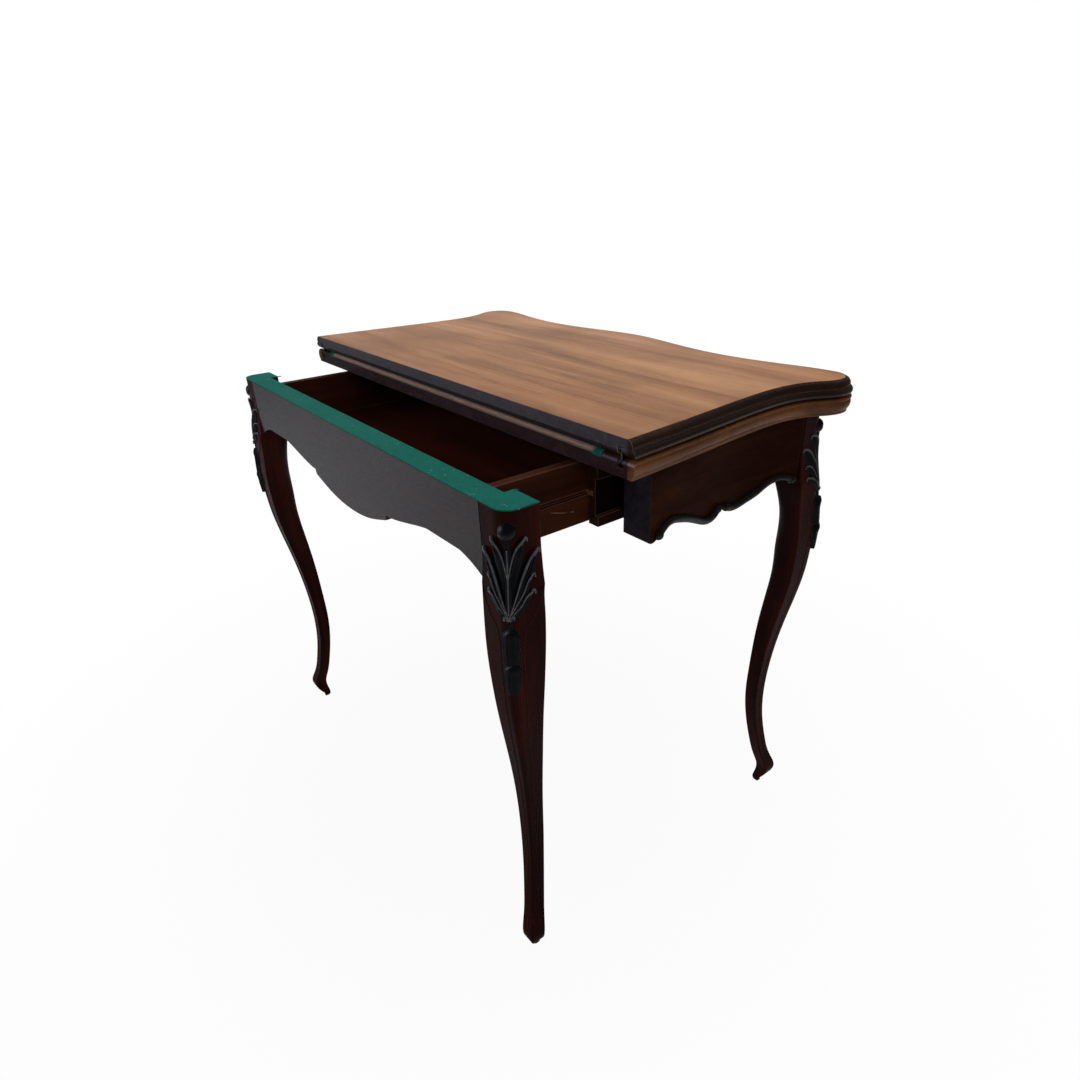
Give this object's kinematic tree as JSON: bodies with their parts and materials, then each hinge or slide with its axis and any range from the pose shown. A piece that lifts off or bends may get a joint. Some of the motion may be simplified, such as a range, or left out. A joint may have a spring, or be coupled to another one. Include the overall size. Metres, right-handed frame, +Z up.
{
  "type": "folding card table",
  "caption": "Serpentine fold-over card table on cabriole legs, its back legs on a sliding frame with a tray, drawn out with the top shut.",
  "frame": {"origin": "on the floor under the centre of the whole table's outline as it stands in the picture", "axes": "+Z up, X along the hinge edge of the top, -Y the way the back frame draws out"},
  "size_m": [0.8708, 0.5944, 0.74],
  "materials": {
    "top_veneer": "dark red-brown mahogany veneer, old gloss polish",
    "lipping": "polished dark brown moulding, lighter on worn edges",
    "leg_wood": "dark red-brown polished hardwood",
    "apron_wood": "dark red-brown, satin polish",
    "frame_wood": "stained secondary wood, satin",
    "runner_wood": "waxed hardwood, rubbed bright",
    "ebonised": "black stained carving, satin polish",
    "baize": "green woollen baize, napped",
    "hinge_brass": "tarnished",
    "screw_steel": "dull steel"
  },
  "bodies": {
    "carcase": {"corner_blocks": "frame_wood", "front_apron": "apron_wood", "front_carving_left": "ebonised", "front_carving_right": "ebonised", "front_leg_left": "leg_wood", "front_leg_right": "leg_wood", "front_moulding": "ebonised", "guide_rail_left": "frame_wood", "guide_rail_right": "frame_wood", "lower_hinge_plates": "hinge_brass", "lower_hinge_screws": "hinge_brass", "lower_leaf_baize": "baize", "lower_leaf_moulding": "lipping", "lower_leaf_panel": "top_veneer", "rail_blocks": "frame_wood", "rail_runners": "runner_wood", "rail_screws": "screw_steel", "side_apron_left": "apron_wood", "side_apron_right": "apron_wood", "side_moulding_left": "ebonised", "side_moulding_right": "ebonised", "top_blocks": "frame_wood", "top_screws": "screw_steel"},
    "sliding_frame": {"back_apron": "apron_wood", "back_carving_left": "ebonised", "back_carving_right": "ebonised", "back_leg_left": "leg_wood", "back_leg_right": "leg_wood", "frame_baize": "baize", "frame_top_strip": "frame_wood", "tray_bottom": "frame_wood", "tray_end": "frame_wood", "tray_runners": "runner_wood", "tray_side_left": "frame_wood", "tray_side_right": "frame_wood"},
    "hinge_links": {"hinge_links": "hinge_brass", "hinge_pins": "hinge_brass"},
    "upper_leaf": {"upper_hinge_plates": "hinge_brass", "upper_hinge_screws": "hinge_brass", "upper_leaf_baize": "baize", "upper_leaf_moulding": "lipping", "upper_leaf_panel": "top_veneer"}
  },
  "joints": [
    {"name": "frame_slide", "type": "slide", "parent": "carcase", "child": "sliding_frame", "axis": [0, -1, 0], "range_m": [-0.1525, 0.067]},
    {"name": "link_fold", "type": "hinge", "parent": "carcase", "child": "hinge_links", "pos_m": [0, -0.12428, 0.7098], "axis": [1, 0, 0], "range_deg": [0, 90]},
    {"name": "leaf_fold", "type": "hinge", "parent": "hinge_links", "child": "upper_leaf", "pos_m": [0, -0.12428, 0.725], "axis": [1, 0, 0], "range_deg": [0, 90]}
  ],
  "couplings": [
    {"joint": "link_fold", "follows": "leaf_fold", "ratio": 1}
  ]
}
